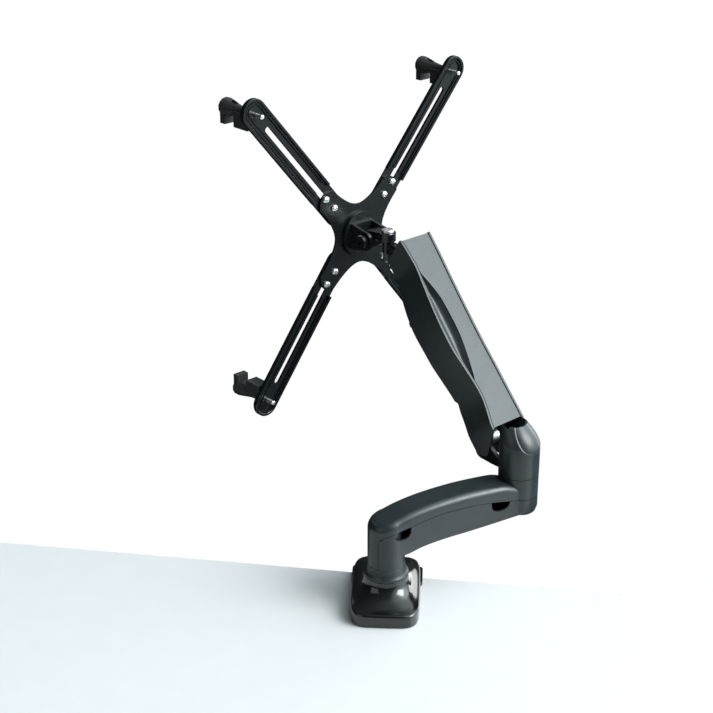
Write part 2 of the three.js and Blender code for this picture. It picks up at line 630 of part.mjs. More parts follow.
const at = (solidBody, right, up) => solidBody.translate([0, -right, up]);
const SCREW_POINTS = ADAPTERS.flatMap(({ tag, side }) => HOLE_PITCH.map((pitch, index) => ({
  tag: `${tag}_${["inner", "outer"][index]}`,
  right: (side[0] * pitch) / 2,
  up: (side[1] * pitch) / 2,
})));

function crossPlate() {
  const { x, thickness, armFrom, lobeRadius, reach } = PLATE;
  const lobe = lobeRadius / Math.SQRT2;
  const tip = reach / Math.SQRT2 - lobe / 2;
  const shape = new THREE.Shape();
  [0, 1, 2, 3].forEach((quarter) => {
    const spin = quarter * 90 * DEG;
    const turn = (right, up) => [right * Math.cos(spin) - up * Math.sin(spin),
      right * Math.sin(spin) + up * Math.cos(spin)];
    const [from, waist, near, far, end] = [
      [armFrom, 0], [armFrom, lobe + 4], [tip + lobe - 2, tip - lobe],
      [tip + lobe, tip + lobe], [tip - lobe, tip + lobe - 2]].map(([a, b]) => turn(a, b));
    const next = turn(lobe + 4, armFrom);
    if (quarter === 0) shape.moveTo(...from);
    shape.quadraticCurveTo(...waist, ...near);
    shape.quadraticCurveTo(...far, ...end);
    shape.quadraticCurveTo(...next, ...turn(0, armFrom));
  });
  const low = x - thickness / 2;
  const plate = facing(shape, low, low + thickness, 8);
  const holes = SCREW_POINTS.map(({ right, up }) => at(lengthwise(2.4, 30, 60, 0, 0, 14), right, up));
  return cut(plate, lengthwise(4 + GAP, 30, 60, 0, 0, 24), ...holes);
}

const FACE = PLATE.x + PLATE.thickness / 2;

const platePivot = () => turned([[0, 0], [4, 0], [4, 14], [8, 14], [8, 18], [0, 18]], 24)
  .rotate([0, 90, 0]).translate([FACE + GAP - 14, 0, 0]);

// A pan-head screw with its shank through the plate and the slot of its adapter arm.
function plateScrew() {
  const length = PLATE.thickness + ADAPTER.sheet + 3;
  return turned([[0, -2.9], [2.4, -2.7], [4.1, -1.2], [4.1, 0], [2, 0], [2, length], [0, length]], 20)
    .rotate([0, 90, 0]).translate([PLATE.x - PLATE.thickness / 2 - GAP, 0, 0]);
}

// Local to each adapter arm: right runs outwards along the arm, X is towards the monitor.
function adapterArm() {
  const { inner, tip, halfWidth, rimFrom, beadFrom, rim, sheet, stud } = ADAPTER;
  const beyond = (from) => block([-rim - 1, -tip - 5, -30], [sheet + 1, -from, 30]);
  const floor = facing(pill(inner, tip, halfWidth), 0, sheet, 14);
  const outer = facing(pill(inner, tip, halfWidth), -rim, sheet, 14);
  const hollow = facing(pill(inner - 20, tip - 1.8, halfWidth - 1.8), -rim - 1, 0, 14);
  const rims = cut(outer, hollow).intersect(beyond(rimFrom));
  const bead = facing(pill(SLOT.from, SLOT.to + 6, SLOT.halfWidth + 3.4), -1.4, sheet, 10)
    .intersect(beyond(beadFrom));
  const slot = facing(pill(SLOT.from, SLOT.to, SLOT.halfWidth), -5, 5, 8);
  return cut(join(floor, rims, bead), slot,
    at(lengthwise(STUD.radius + GAP, -20, 20, 0, 0, 20), stud, 0));
}

const studRod = () => lengthwise(STUD.radius, STUD.back, STUD.front, 0, 0, 20);

// The hook turns on its stud: a foot behind the screen, and a flared claw with a lip before it.
function hook() {
  const { halfWidth, from, screenBack, screenFront, to, reach } = HOOK;
  const claw = turned([[0, from], [4.6, from], [4.6, 14], [6, 26], [8.6, 38], [10.2, 45], [10.2, to],
    [0, to]], 28).rotate([0, 90, 0]);
  const foot = block([from, -halfWidth, -reach], [screenBack, halfWidth, 0]);
  const lip = block([screenFront, -halfWidth, -reach], [to, halfWidth, 0]);
  return cut(join(claw, foot, lip),
    lengthwise(STUD.radius + GAP, from - 1, STUD.front + GAP, 0, 0, 20));
}

// ================= assembly =================

const base = [
  piece("desk_pad", "rubber", deskPad()),
  piece("base_plate", "coated", basePlate()),
  piece("clamp_bracket", "coated", clampBracket()),
  piece("base_post", "steel", basePost()),
  piece("base_cover", "gloss", baseCover()),
  piece("collar", "satin", collar()),
  placed([0, SCREW.y, 0], [
    piece("clamp_disc", "rubber", clampDisc()),
    piece("clamp_screw", "steel", clampScrew()),
    piece("clamp_bar", "steel", clampBar()),
  ]),
];

const adapters = ADAPTERS.map(({ tag, side, angle }) => {
  const middle = (HOLE_PITCH[0] + HOLE_PITCH[1]) / 4;
  const hookTurn = side[1] > 0 ? angle : angle + 180;
  return placed([FACE + GAP, -side[0] * middle, side[1] * middle], [
    piece(`adapter_${tag}`, "coated", adapterArm()),
    placed([0, -ADAPTER.stud, 0], [
      piece(`stud_${tag}`, "steel", studRod()),
      placed([0, 0, 0], [piece(`hook_${tag}`, "rubber", hook())], 0, 0, hookTurn),
    ]),
  ], 0, 0, -angle);
});

const plateSet = [
  piece("cross_plate", "coated", crossPlate()),
  piece("plate_pivot", "steel", platePivot()),
  ...SCREW_POINTS.map(({ tag, right, up }) =>
    placed([0, -right, up], [piece(`screw_${tag}`, "steel", plateScrew())])),
  ...adapters,
];

const head = placed([HEAD.x, 0, HEAD.z], [
  piece("swivel_pin", "steel", swivelPin()),
  piece("swivel_nut", "coated", swivelNut()),
  piece("swivel_yoke", "coated", swivelYoke()),
  piece("tilt_bracket", "coated", tiltBracket()),
  piece("tilt_bolt", "coated", tiltBolt()),
  piece("tilt_nut", "steel", tiltNut()),
  ...plateSet,
]);

const LIFT_POINT = [LIFT.x, 0, LIFT.z];
const upperArm = placed(LIFT_POINT, [
  piece("upper_arm_shell", "satin", upperArmShell()),
  piece("upper_arm_top_cover", "satin", topCover()),
  piece("upper_arm_under_cover", "satin", underCover()),
  piece("lift_pin_left", "steel", liftPin(1)),
  piece("lift_pin_right", "steel", liftPin(-1)),
  placed([UPPER.span, 0, 0], [piece("head_axle", "steel", headAxle())]),
  placed([SPRING_PIN.x, 0, SPRING_PIN.z], [
    piece("spring_pin", "steel", crosswise(SPRING_PIN.radius, -18.8, 18.8)),
    piece("gas_cylinder", "gloss", gasCylinder()),
    piece("gas_rod", "steel", gasRod()),
  ], 0, -SPRING.slope),
], 0, -UPPER.pitch);

const knuckle = placed([HEAD.x - KNUCKLE_X, 0, HEAD.z - KNUCKLE_Z], [
  piece("head_knuckle", "coated", headKnuckle()),
  placed([LINK.dx, 0, LINK.dz], [piece("link_pin_head", "steel", linkPin())]),
]);

const elbow = [
  piece("elbow_bracket", "coated", elbowBracket()),
  piece("elbow_housing", "gloss", elbowHousing()),
  placed([LIFT.x + SPRING_ANCHOR.dx, 0, LIFT.z + SPRING_ANCHOR.dz], [
    piece("spring_anchor_pin", "steel", crosswise(SPRING_ANCHOR.radius, -14.4, 14.4)),
  ]),
  placed([LIFT.x + LINK.dx, 0, LIFT.z + LINK.dz], [
    piece("link_pin_elbow", "steel", linkPin()),
    placed([0, 0, 0], [piece("parallel_link", "coated", parallelLink())], 0, -UPPER.pitch),
  ]),
  upperArm,
  knuckle,
  head,
];

const lowerArm = placed([0, 0, 0], [
  piece("base_bushing", "nylon", baseBushing()),
  piece("lower_arm_body", "satin", lowerArmBody()),
  piece("lower_arm_cover", "satin", lowerArmCover()),
  placed([LOWER.length, 0, 0], [
    piece("elbow_bushing", "nylon", elbowBushing()),
    placed([0, 0, 0], elbow, UPPER.azimuth - LOWER.azimuth),
  ]),
], LOWER.azimuth);

const monitorArm = new THREE.Group();
monitorArm.name = "monitor_arm";
monitorArm.add(...base, lowerArm);

export default monitorArm;
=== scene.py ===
"""The looks of the clamp-on monitor arm: fine meshes and procedural finishes over the CAD frame.

Shapes are drawn in millimetres in the same local frames as the CAD model, then placed in metres.
"""

import json
from math import copysign, cos, pi, radians, sin

import bmesh
import bpy
from mathutils import Matrix, Vector

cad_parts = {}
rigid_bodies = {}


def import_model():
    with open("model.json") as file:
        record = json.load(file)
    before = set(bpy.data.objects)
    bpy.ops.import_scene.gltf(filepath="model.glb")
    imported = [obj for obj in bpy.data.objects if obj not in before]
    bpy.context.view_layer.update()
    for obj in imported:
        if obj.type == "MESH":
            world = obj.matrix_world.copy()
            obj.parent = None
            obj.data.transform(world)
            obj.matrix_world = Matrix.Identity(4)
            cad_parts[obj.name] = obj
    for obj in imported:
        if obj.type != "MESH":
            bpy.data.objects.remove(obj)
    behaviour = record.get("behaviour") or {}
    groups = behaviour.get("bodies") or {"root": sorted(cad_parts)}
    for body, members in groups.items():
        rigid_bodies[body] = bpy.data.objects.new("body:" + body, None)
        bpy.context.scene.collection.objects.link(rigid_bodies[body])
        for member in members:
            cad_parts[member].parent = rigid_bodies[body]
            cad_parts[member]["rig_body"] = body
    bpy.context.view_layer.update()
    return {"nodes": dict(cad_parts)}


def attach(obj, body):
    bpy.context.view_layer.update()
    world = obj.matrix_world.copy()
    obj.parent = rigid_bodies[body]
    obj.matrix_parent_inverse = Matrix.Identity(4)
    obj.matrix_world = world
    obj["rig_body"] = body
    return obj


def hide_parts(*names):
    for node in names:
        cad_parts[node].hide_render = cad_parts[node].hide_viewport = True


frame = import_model()

MM = 0.001
GAP = 0.3  # air between pieces that touch
WALL = 2.4  # cast and moulded shells
ROUND = 96  # sides of a large round shape

# ---- sizes in millimetres, as in the CAD model ----
BASE = {"half_width": 36.5, "front": -51.5, "back": 60.0, "floor": 0.8, "rise": 6.0}
COLLAR = {"low": 36.5, "high": 49.0, "low_radius": 23.8, "high_radius": 19.9}
CLAMP = {"strap_from": 31.0, "leg_from": 61.0, "sheet": 4.0}
POST_RADIUS = 13.0
LOWER = {"length": 161.8, "azimuth": 30.6, "post_radius": 19.7, "half_width": 19.0,
         "column_radius": 21.8}
ELBOW_SEAM = 116.0
COLUMN_SEAM = 91.0
SEAM_DIP = 0.3  # the cover's soft edge falls away from the seam
BODY_SEAM_X = -15.7
BASE_TUBE = {"radius": 15.8, "bore": 15.0, "top": 100.0, "bore_top": 99.5}
COLUMN_TUBE = {"radius": 15.5, "bore": 12.5, "foot": 76.0}
HOUSING = {"radius": 21.9, "top": 171.5, "wall": 1.8}
SHAFT_RADIUS = 10.5
CHEEK_OUTER = 14.0
UPPER = {"azimuth": 135.0, "pitch": 50.0, "span": 204.0}
LIFT = {"x": 44.8, "z": 157.5, "radius": 4.0}
DECK = {"low": 16.9, "high": 25.0, "groove": 1.4, "elbow_end": -8.0, "head_end": 217.0}
WEB = {"low": 14.4, "high": 16.6}
BLIND = 1.2  # the skin that closes the pin holes in the side panels
SPRING_PIN = {"x": 165.0, "z": 5.0, "radius": 3.0}
HEAD = {"x": 209.2, "z": 320.6}
TILT_X = 22.0
PLATE = {"x": 48.1, "thickness": 2.4, "arm_from": 35.0, "lobe_radius": 15.0, "reach": 77.0,
         "pivot_hole": 4.3, "screw_hole": 2.4}
PLATE_FACE = PLATE["x"] + PLATE["thickness"] / 2
HOLE_PITCH = (75.0, 100.0)
ADAPTERS = (("upper_left", (-1, 1), 130.2), ("upper_right", (1, 1), 49.4),
            ("lower_left", (-1, -1), -127.5), ("lower_right", (1, -1), -51.0))
ADAPTER = {"inner": -33.0, "stud": 155.0, "tip": 173.9, "half_width": 15.5,
           "rim_from": 18.0, "bead_from": 24.0, "sheet": 1.6}
SLOT = {"half_width": 3.3, "from": -26.0, "to": 134.0}
STUD = {"radius": 2.5, "back": -13.0, "front": 40.0}
HOOK = {"half_width": 7.5, "from": 4.0, "screen_back": 27.0, "screen_front": 42.3, "to": 50.0,
        "reach": 17.0}

# Side views of the lower arm, as (along, height) in the arm's own frame.
ARM_TOP = ((-30, 97), (-20, 99.5), (-2, 103.8), (17, 109), (39, 112.5), (61, 114.3), (89, 115),
           (117, 114), (136, 112.4), (150, 108), (165, 104))
SEAM = ((141, 94), (113, 98.6), (89, 100.7), (61, 101.2), (39, 98.8), (19, 95), (-4, 91),
        (-12, 87.5))
ARM_BOTTOM = ((19, 64.6), (36, 68.4), (62, 70.5), (90, 71.2), (119, 72.4), (150, 74))

# Where shapes that only cut others end: clear of the piece that they cut.
BESIDE_ARM = 30.0
ABOVE_ARM = 130.0
BELOW_ARM = 40.0
BELOW_COLUMN = 60.0
BESIDE_HEAD = 40.0


# ================= local frames =================

def local(origin=(0, 0, 0), z=0.0, y=0.0, x=0.0):
    """A frame turned about X, then Y, then Z, and moved to origin."""
    turn = Matrix.Rotation(radians(z), 4, "Z") @ Matrix.Rotation(radians(y), 4, "Y")
    return Matrix.Translation(Vector(origin)) @ turn @ Matrix.Rotation(radians(x), 4, "X")


BASE_FRAME = local()
LOWER_FRAME = local(z=LOWER["azimuth"])
ELBOW_FRAME = LOWER_FRAME @ local((LOWER["length"], 0, 0), z=UPPER["azimuth"] - LOWER["azimuth"])
ARM_FRAME = ELBOW_FRAME @ local((LIFT["x"], 0, LIFT["z"]), y=-UPPER["pitch"])
HEAD_FRAME = ELBOW_FRAME @ local((HEAD["x"], 0, HEAD["z"]))


def adapter_frame(side, angle):
    middle = sum(HOLE_PITCH) / 4
    origin = (PLATE_FACE + GAP, -side[0] * middle, side[1] * middle)
    return HEAD_FRAME @ local(origin, x=-angle)


def stud_frame(side, angle):
    return adapter_frame(side, angle) @ local((0, -ADAPTER["stud"], 0))


def hook_frame(side, angle):
    """The hook stands upright whatever its arm's angle, its foot towards the screen's middle."""
    turn = angle if side[1] > 0 else angle + 180
    return stud_frame(side, angle) @ local(x=turn)


# ================= outlines =================

def arc(radius, start, end, steps, centre=(0.0, 0.0)):
    """Points on a circular arc between two angles in degrees, both ends included."""
    angles = [radians(start + (end - start) * step / steps) for step in range(steps + 1)]
    return [(centre[0] + radius * cos(a), centre[1] + radius * sin(a)) for a in angles]


def smooth(a, b, c, d, t):
    """A smooth step from b to c as t goes from 0 to 1, with a before and d after them."""
    return 0.5 * (2 * b + (c - a) * t + (2 * a - 5 * b + 4 * c - d) * t ** 2
                  + (3 * b - a - 3 * c + d) * t ** 3)


def curve_through(points, steps=5):
    """A smooth line that passes through the points."""
    ends = [points[0], *points, points[-1]]
    line = []
    for around in zip(ends, ends[1:], ends[2:], ends[3:]):
        for step in range(steps):
            line.append(tuple(smooth(*values, step / steps) for values in zip(*around)))
    return [*line, tuple(points[-1])]


def curve_at(points, x):
    """The smooth curve through the points, read at x."""
    last = len(points) - 2
    span = max([0] + [index for index in range(last + 1) if points[index][0] <= x])
    a, d = points[max(span - 1, 0)][1], points[min(span + 2, last + 1)][1]
    (x0, b), (x1, c) = points[span], points[span + 1]
    return smooth(a, b, c, d, (x - x0) / (x1 - x0))


def bend(start, corner, end, steps=8):
    """A quadratic curve from start to end, pulled towards the corner."""
    return [tuple((1 - t) ** 2 * a + 2 * t * (1 - t) * b + t * t * c
                  for a, b, c in zip(start, corner, end))
            for t in (step / steps for step in range(steps + 1))]


def cornered(corners, steps=6):
    """A closed outline from (x, y) or (x, y, corner radius) corners."""
    line = []
    for index, corner in enumerate(corners):
        here = Vector(corner[:2])
        radius = corner[2] if len(corner) > 2 else 0
        if radius == 0:
            line.append(tuple(here))
            continue
        before = Vector(corners[index - 1][:2]) - here
        after = Vector(corners[(index + 1) % len(corners)][:2]) - here
        start, end = (here + way.normalized() * radius for way in (before, after))
        line += bend(start, here, end, steps)
    return line


def shifted(points, by):
    """The points of a side view, all raised by the same height."""
    return [(x, z + by) for x, z in points]


def pill(start, end, half_width, steps=16):
    """A long round-ended outline along X."""
    return [*arc(half_width, -90, 90, steps, (end - half_width, 0)),
            *arc(half_width, 90, 270, steps, (start + half_width, 0))]


# ================= solids =================

def finished(shape):
    """Welds a mesh, turns its faces outwards and puts it in the scene."""
    bmesh.ops.remove_doubles(shape, verts=shape.verts, dist=1e-4)
    bmesh.ops.dissolve_degenerate(shape, dist=1e-4, edges=shape.edges)
    bmesh.ops.recalc_face_normals(shape, faces=shape.faces)
    mesh = bpy.data.meshes.new("shape")
    shape.to_mesh(mesh)
    shape.free()
    solid = bpy.data.objects.new("shape", mesh)
    bpy.context.scene.collection.objects.link(solid)
    return solid


def loft(rings, capped=True):
    """A closed mesh through rings with the same number of points."""
    shape = bmesh.new()
    rows = [[shape.verts.new(point) for point in ring] for ring in rings]
    count = len(rings[0])
    pairs = list(zip(rows, rows[1:]))
    if not capped:
        pairs.append((rows[-1], rows[0]))
    for low, high in pairs:
        for side in range(count):
            ahead = (side + 1) % count
            shape.faces.new((low[side], low[ahead], high[ahead], high[side]))
    if capped:
        shape.faces.new(list(reversed(rows[0])))
        shape.faces.new(rows[-1])
    return finished(shape)


def swept_in(lines):
    """A closed mesh through U-shaped lines, with a flat cap across their open ends.

    The first and last lines are folded flat on the middle plane, so both their sides meet.
    """
    shape = bmesh.new()
    rows = [[shape.verts.new(point) for point in line] for line in lines]
    last = len(lines[0]) - 1
    for low, high in zip(rows, rows[1:]):
        for step in range(last):
            shape.faces.new((low[step], low[step + 1], high[step + 1], high[step]))
    shape.faces.new([row[0] for row in rows] + [row[last] for row in reversed(rows)])
    return finished(shape)


def raised(outline, low, high):
    """An outline in X and Y between two heights."""
    return loft([[(x, y, z) for x, y in outline] for z in (low, high)])


def across(outline, start, end):
    """A side view in X and Z, drawn out along Y."""
    return loft([[(x, y, z) for x, z in outline] for y in (start, end)])


def facing(outline, start, end):
    """An outline in the head plate's plane: X to the right, Y up, seen from the arm's side."""
    return loft([[(x, -right, up) for right, up in outline] for x in (start, end)])


def circle(radius, centre=(0.0, 0.0), sides=ROUND):
    return arc(radius, 0, 360 - 360 / sides, sides - 1, centre)


def post(radius, low, high, centre=(0.0, 0.0)):
    """A round bar along Z."""
    return raised(circle(radius, centre), low, high)


def crosswise(radius, start, end, x=0.0, z=0.0, sides=48):
    """A round bar along Y."""
    return across(circle(radius, (x, z), sides), start, end)


def lengthwise(radius, start, end, y=0.0, z=0.0):
    """A round bar along X."""
    ring = circle(radius, (y, z), 40)
    return loft([[(x, *point) for point in ring] for x in (start, end)])


def block(low, high):
    """A box between its lowest and highest corners."""
    (x0, y0, z0), (x1, y1, z1) = low, high
    return raised([(x0, y0), (x1, y0), (x1, y1), (x0, y1)], z0, z1)


def turned(profile, sides=ROUND, wobble=None):
    """A profile of (radius, height) turned about Z; wobble(angle, height) scales the radius."""
    rings = []
    for side in range(sides):
        angle = 2 * pi * side / sides
        scale = [wobble(angle, z) if wobble else 1.0 for _, z in profile]
        rings.append([(radius * s * cos(angle), radius * s * sin(angle), z)
                      for (radius, z), s in zip(profile, scale)])
    return loft(rings, capped=False)


def moved(solid, matrix):
    solid.data.transform(matrix)
    return solid


def combined(operation, first, *others):
    """Joins, cuts or intersects solids, and keeps only the result."""
    for other in others:
        step = first.modifiers.new("step", "BOOLEAN")
        step.operation = operation
        step.solver = "MANIFOLD"
        step.object = other
    bpy.context.view_layer.update()
    graph = bpy.context.evaluated_depsgraph_get()
    result = bpy.data.meshes.new_from_object(first.evaluated_get(graph))
    first.modifiers.clear()
    first.data = result
    for other in others:
        bpy.data.objects.remove(other)
    return first


def join(first, *others):
    return combined("UNION", first, *others)


def cut(first, *others):
    return combined("DIFFERENCE", first, *others)


def common(first, *others):
    return combined("INTERSECT", first, *others)


# ================= finishes =================

PATCH_SCALE = 35.0
SMEAR_SCALE = 90.0
COAT_ROUGHNESS = 0.12


def nodes_of(name):
    material = bpy.data.materials.new(name)
    material.use_nodes = True
    return material, material.node_tree.nodes, material.node_tree.links


def noise(nodes, links, scale, detail=3.0, stretch=(1, 1, 1)):
    """Noise in the piece's own coordinates, in metres."""
    place = nodes.new("ShaderNodeTexCoord")
    mapping = nodes.new("ShaderNodeMapping")
    mapping.inputs["Scale"].default_value = stretch
    texture = nodes.new("ShaderNodeTexNoise")
    texture.inputs["Scale"].default_value = scale
    texture.inputs["Detail"].default_value = detail
    links.new(place.outputs["Object"], mapping.inputs["Vector"])
    links.new(mapping.outputs["Vector"], texture.inputs["Vector"])
    return texture.outputs["Fac"]


def between(nodes, links, value, low, high):
    """The value, which lies about the middle of 0 to 1, spread from low to high."""
    spread = nodes.new("ShaderNodeMapRange")
    spread.inputs["From Min"].default_value = 0.3
    spread.inputs["From Max"].default_value = 0.7
    spread.inputs["To Min"].default_value = low
    spread.inputs["To Max"].default_value = high
    links.new(value, spread.inputs["Value"])
    return spread.outputs["Result"]


def patchy_colour(nodes, links, colour, patch):
    """The colour, a little darker and lighter in slow patches."""
    shade = nodes.new("ShaderNodeMix")
    shade.data_type = "RGBA"
    shade.inputs["A"].default_value = (*[c * (1 - patch) for c in colour], 1)
    shade.inputs["B"].default_value = (*[c * (1 + patch) for c in colour], 1)
    slow = noise(nodes, links, PATCH_SCALE)
    links.new(between(nodes, links, slow, 0, 1), shade.inputs["Factor"])
    return shade.outputs["Result"]


def smeared_gloss(nodes, links, roughness, stretch):
    """The roughness, varied as if the surface had been handled."""
    smears = noise(nodes, links, SMEAR_SCALE, 4.0, stretch)
    return between(nodes, links, smears, roughness * 0.85, roughness * 1.15)


def fine_relief(nodes, links, grain, relief, stretch):
    bump = nodes.new("ShaderNodeBump")
    bump.inputs["Distance"].default_value = relief * MM
    bump.inputs["Strength"].default_value = 1.0
    links.new(noise(nodes, links, grain, 2.0, stretch), bump.inputs["Height"])
    return bump.outputs["Normal"]


def finish(name, colour, roughness, grain, relief, metallic=0.0, coat=0.0, sheen=0.0,
           patch=0.12, stretch=(1, 1, 1)):
    """A coated, moulded or machined surface: fine relief, and slow changes of shade and gloss."""
    material, nodes, links = nodes_of(name)
    sockets = nodes["Principled BSDF"].inputs
    sockets["Metallic"].default_value = metallic
    sockets["Coat Weight"].default_value = coat
    sockets["Coat Roughness"].default_value = COAT_ROUGHNESS
    sockets["Sheen Weight"].default_value = sheen
    links.new(patchy_colour(nodes, links, colour, patch), sockets["Base Color"])
    links.new(smeared_gloss(nodes, links, roughness, stretch), sockets["Roughness"])
    links.new(fine_relief(nodes, links, grain, relief, stretch), sockets["Normal"])
    return material


# Grain is in bumps a metre and relief in millimetres.
LOOKS = {
    "satin_black": {"colour": (0.015, 0.0215, 0.0235), "roughness": 0.36, "grain": 1500,
                    "relief": 0.003},
    "gloss_black": {"colour": (0.004, 0.005, 0.0055), "roughness": 0.14, "grain": 900,
                    "relief": 0.002, "coat": 0.5},
    "coated_steel": {"colour": (0.004, 0.0055, 0.006), "roughness": 0.24, "grain": 1100,
                     "relief": 0.002, "patch": 0.06},
    "bright_steel": {"colour": (0.86, 0.88, 0.90), "roughness": 0.36, "grain": 1800,
                     "relief": 0.003, "metallic": 1.0, "stretch": (1, 1, 9)},
    "rubber": {"colour": (0.014, 0.015, 0.015), "roughness": 0.55, "grain": 1300,
               "relief": 0.02, "sheen": 0.1},
    "nylon": {"colour": (0.70, 0.67, 0.58), "roughness": 0.45, "grain": 1200, "relief": 0.008},
    "gas_cylinder_paint": {"colour": (0.012, 0.012, 0.013), "roughness": 0.2, "grain": 900,
                           "relief": 0.004, "coat": 0.4},
}
FINISH = {name: finish(name, **look) for name, look in LOOKS.items()}


# ================= placing =================

def rounded_edges(piece, width):
    """Rounds every edge where the surface turns by more than 32 degrees."""
    step = piece.modifiers.new("rounded_edges", "BEVEL")
    step.width = width * MM
    step.segments = 3
    step.limit_method = "ANGLE"
    step.angle_limit = radians(32)
    step.harden_normals = True
    step.use_clamp_overlap = True


def dress(piece, node, slot, edge):
    """Gives a piece its finish and edges, and stands it in for a CAD node."""
    piece.name = node + "_skin"
    piece.data.materials.clear()
    piece.data.materials.append(FINISH[slot])
    piece.data.shade_smooth()
    rounded_edges(piece, edge)
    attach(piece, frame["nodes"][node]["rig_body"])
    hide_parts(node)
    return piece


def show(solid, where, node, slot, edge=0.5):
    """Places a shape drawn in a local frame, in millimetres, as the look of a CAD node."""
    moved(solid, Matrix.Scale(MM, 4) @ where)
    return dress(solid, node, slot, edge)


def carry_over(node, slot):
    """The look of a simple CAD node: its own shape with whole faces and rounded edges."""
    shape = bmesh.new()
    shape.from_mesh(frame["nodes"][node].data)
    bmesh.ops.remove_doubles(shape, verts=shape.verts, dist=1e-6)
    bmesh.ops.dissolve_limit(shape, angle_limit=radians(0.5), verts=shape.verts,
                             edges=shape.edges)
    mesh = bpy.data.meshes.new(node)
    shape.to_mesh(mesh)
    shape.free()
    for layer in ("custom_normal", "sharp_edge", "sharp_face"):
        if layer in mesh.attributes:
            mesh.attributes.remove(mesh.attributes[layer])
    piece = bpy.data.objects.new(node, mesh)
    bpy.context.scene.collection.objects.link(piece)
    return dress(piece, node, slot, 0.4)


# ================= base =================

# The cover, from its foot to the collar: how far out it stands, its height at the front, and how
# much of the rise towards the back it takes.
COVER = ((1, 0.8, 0), (1, 12.0, 0.95), (0.995, 13.0, 1), (0.975, 13.8, 1), (0.93, 14.5, 1),
         (0.75, 15.6, 0.92), (0.55, 17.6, 0.8), (0.3, 21, 0.55), (0.12, 26, 0.25), (0.03, 31, 0.08),
         (0, COLLAR["low"] - GAP, 0))


def cover_ring(level, depth):
    """One level of the cover: a rounded square at its foot that is round at the collar."""
    spread, height, share = level
    centre = (BASE["front"] + BASE["back"]) / 2
    deep = BASE["back"] - BASE["front"]
    power = 2 / (2 + 3.2 * spread)
    radius = COLLAR["low_radius"]
    reach_x = radius + (BASE["half_width"] - radius) * spread - depth
    reach_y = radius + (deep / 2 - radius) * spread - depth
    ring = []
    for side in range(ROUND):
        angle = 2 * pi * side / ROUND
        across_part, along_part = cos(angle), sin(angle)
        x = reach_x * copysign(abs(across_part) ** power, across_part)
        y = centre * spread + reach_y * copysign(abs(along_part) ** power, along_part)
        ring.append((x, y, height + BASE["rise"] * share * (y - BASE["front"]) / deep))
    return ring


def base_cover():
    """The black shell over the base plate, slotted at the back for the clamp's strap."""
    levels = curve_through(COVER[3:], 4)
    outer = [cover_ring(level, 0.1) for level in (*COVER[:3], *levels)]
    inner = [cover_ring((spread, height - WALL, share), WALL) for spread, height, share in levels]
    foot, wall_top = BASE["floor"], 8
    inside = [cover_ring((1, height, 0), WALL) for height in (foot, wall_top)]
    shell = loft([*outer, *reversed(inner), *reversed(inside)], capped=False)
    past_side = 60
    strap_slot = block((-past_side, CLAMP["strap_from"] - 1, -1),
                       (past_side, CLAMP["leg_from"] + 1, CLAMP["sheet"] + 2 * GAP))
    return cut(shell, strap_slot)


def collar():
    """The stepped ring at the foot of the lower arm."""
    low, high = COLLAR["low"], COLLAR["high"]
    wide, narrow = COLLAR["low_radius"], COLLAR["high_radius"]
    bore = POST_RADIUS + GAP
    return turned([(bore, low), (wide, low), (wide, low + 2.2), (wide - 0.3, low + 2.9),
                   (wide - 1.7, low + 4.4), (wide - 2.2, low + 6), (narrow, high - 2.4),
                   (narrow, high), (bore, high)])


# ================= lower arm =================

CROWN = 8.0  # radius of the rounding along the top of the lower arm
ROUND_END = 74.7  # degrees from the arm's line at which the base end meets the straight sides


def crown_line(inset, height=None):
    """A line round the arm's plan at an inset, on its rounded top or at a height."""
    length, post_radius = LOWER["length"], LOWER["post_radius"]
    radius = post_radius - inset
    half = LOWER["half_width"] * radius / post_radius
    steps = 30
    side = [(length + (radius * cos(radians(ROUND_END)) - length) * step / steps, half)
            for step in range(steps)]
    base_end = arc(radius, ROUND_END, 360 - ROUND_END, 32)
    depth = min(inset, CROWN)
    drop = CROWN - (CROWN ** 2 - (CROWN - depth) ** 2) ** 0.5
    return [(x, y, curve_at(ARM_TOP, x) - drop if height is None else height)
            for x, y in (*side, *base_end, *[(x, -y) for x, y in reversed(side)])]


def crowned_arm(low):
    """The lower arm's blank, with its top edges and its base end rounded over."""
    radius = LOWER["post_radius"]
    insets = [CROWN * (1 - cos(pi / 2 * step / 8)) for step in range(9)]
    return swept_in([crown_line(radius, low), crown_line(0, low),
                     *[crown_line(inset) for inset in insets], crown_line(radius)])


def upper_side():
    """The side view of everything above the seam, which turns down to the collar at its end."""
    foot = COLLAR["high"] + GAP
    end = BODY_SEAM_X - GAP
    return [(-BESIDE_ARM, foot), (end, foot), *bend((end, 82), (end, 84), (-13.5, 87), 4),
            *shifted(curve_through(SEAM[::-1]), GAP), (LOWER["length"], COLUMN_SEAM + GAP),
            (LOWER["length"], ABOVE_ARM), (-BESIDE_ARM, ABOVE_ARM)]


def lower_arm_body():
    """Above the seam: the crowned beam, the upright column and the two bearing tubes."""
    length = LOWER["length"]
    foot, top = COLLAR["high"] + GAP, ELBOW_SEAM - GAP
    centre = (length, 0.0)
    skin = common(crowned_arm(foot), across(upper_side(), -BESIDE_ARM, BESIDE_ARM))
    under_seam = across([(100, 60), (length, 60), (length, COLUMN_SEAM + GAP),
                         (SEAM[0][0], SEAM[0][1] + GAP), (100, 101)], -BESIDE_ARM, BESIDE_ARM)
    upright = cut(post(LOWER["column_radius"], COLUMN_SEAM + GAP, top, centre), under_seam)
    base_tube = post(BASE_TUBE["radius"], foot, BASE_TUBE["top"])
    column_tube = post(COLUMN_TUBE["radius"], COLUMN_TUBE["foot"], ELBOW_SEAM - 1, centre)
    base_bore = post(BASE_TUBE["bore"], BELOW_ARM, BASE_TUBE["bore_top"])
    column_bore = post(COLUMN_TUBE["bore"], BELOW_COLUMN, ABOVE_ARM, centre)
    return cut(join(skin, upright, base_tube, column_tube), base_bore, column_bore)


